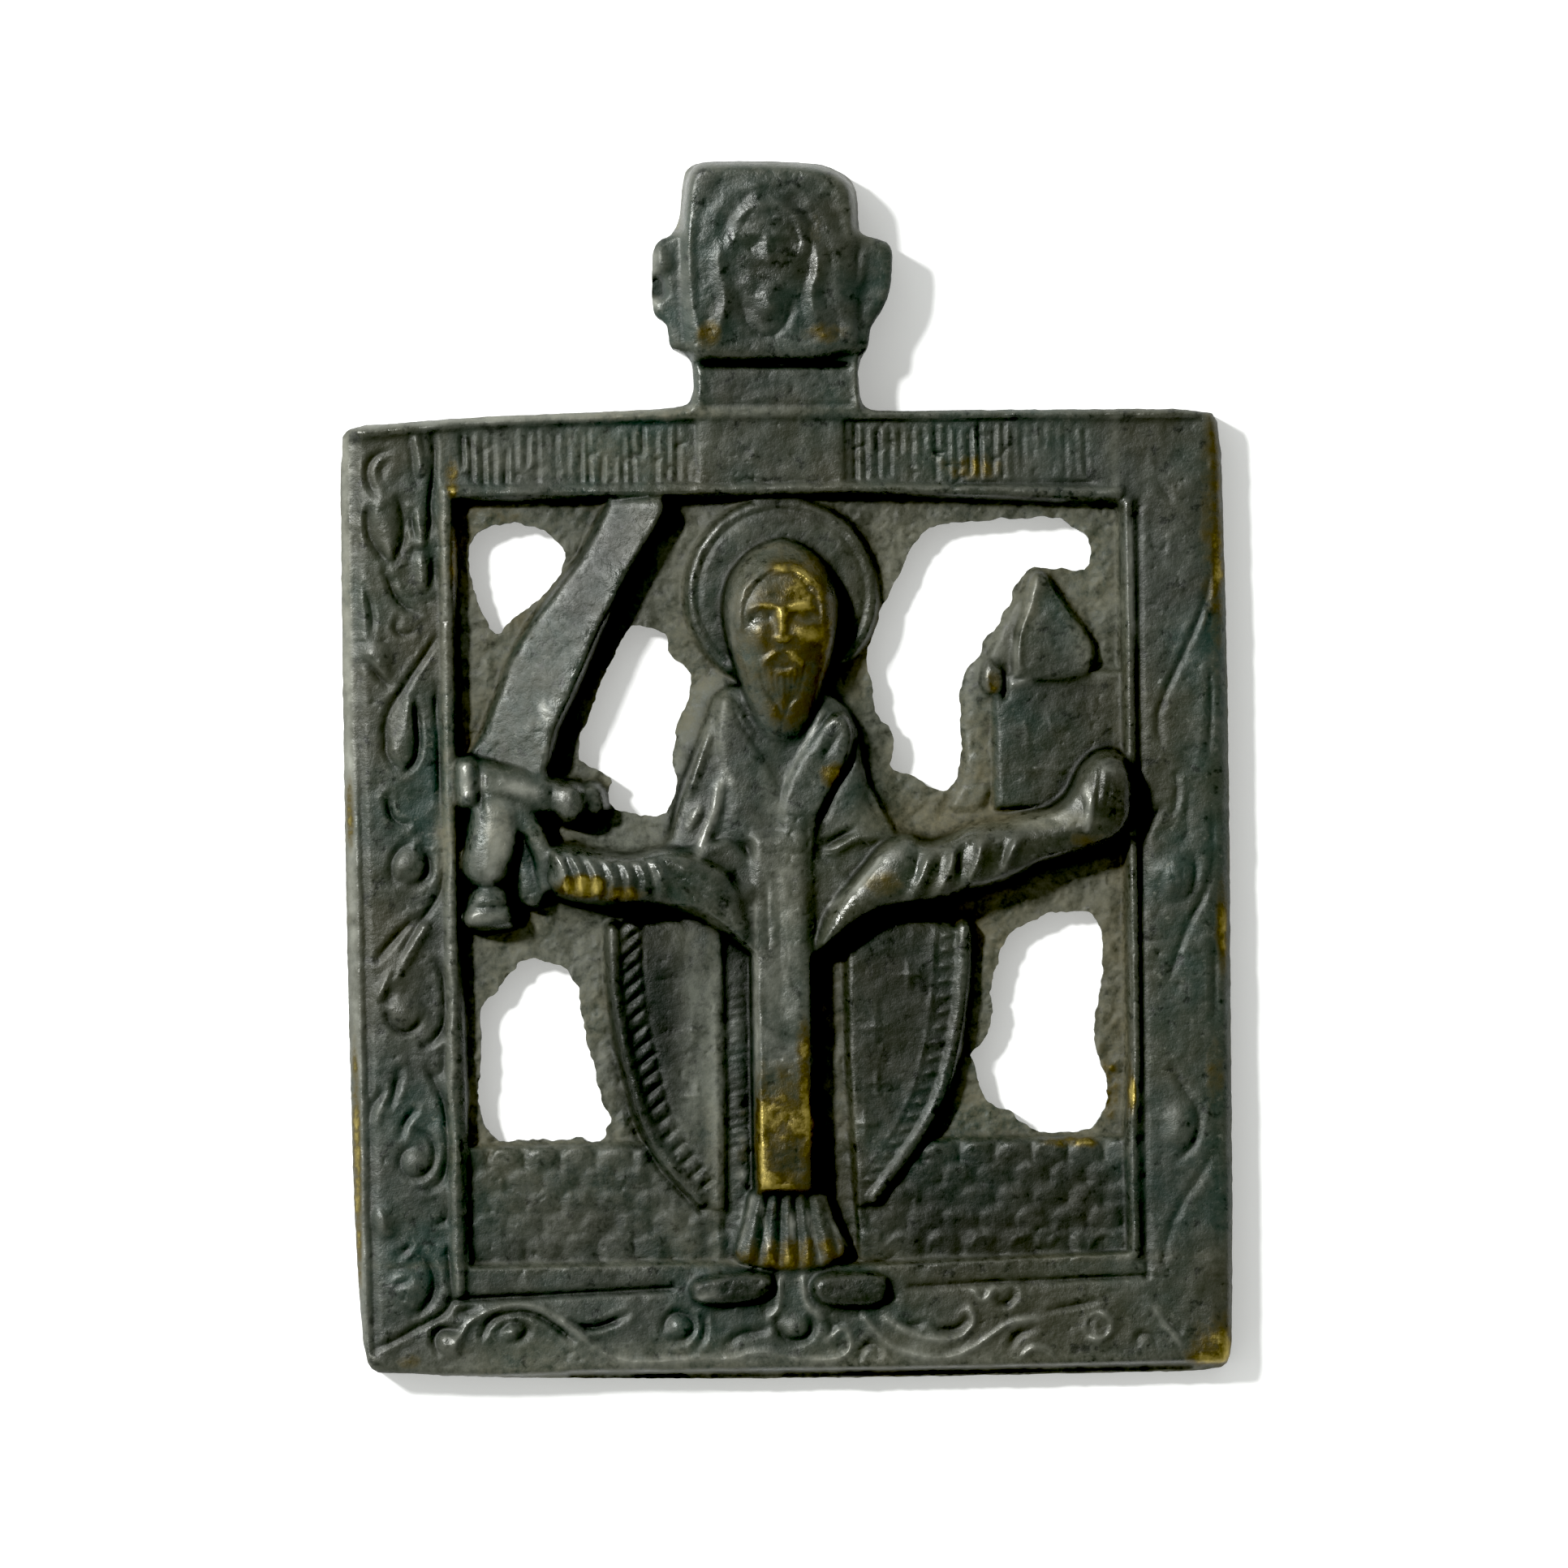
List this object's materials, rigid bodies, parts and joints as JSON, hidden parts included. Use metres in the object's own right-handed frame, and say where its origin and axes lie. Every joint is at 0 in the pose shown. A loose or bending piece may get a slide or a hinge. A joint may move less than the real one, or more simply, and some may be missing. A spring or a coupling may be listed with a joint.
{
  "type": "icon",
  "caption": "Small cast bronze icon: a standing bearded figure with a sword and a small church in a pierced frame, with a neck and headpiece.",
  "frame": {"origin": "centre of the outline, on the surface it lies on", "axes": "+X to the viewer's right, +Y up the figure to the headpiece, +Z out of the relief"},
  "size_m": [0.0599, 0.0824, 0.0067],
  "materials": {
    "dark_bronze": "worn cast surface with a dark grey-green patina"
  },
  "bodies": {
    "root": {"icon_casting": "dark_bronze"}
  },
  "joints": []
}
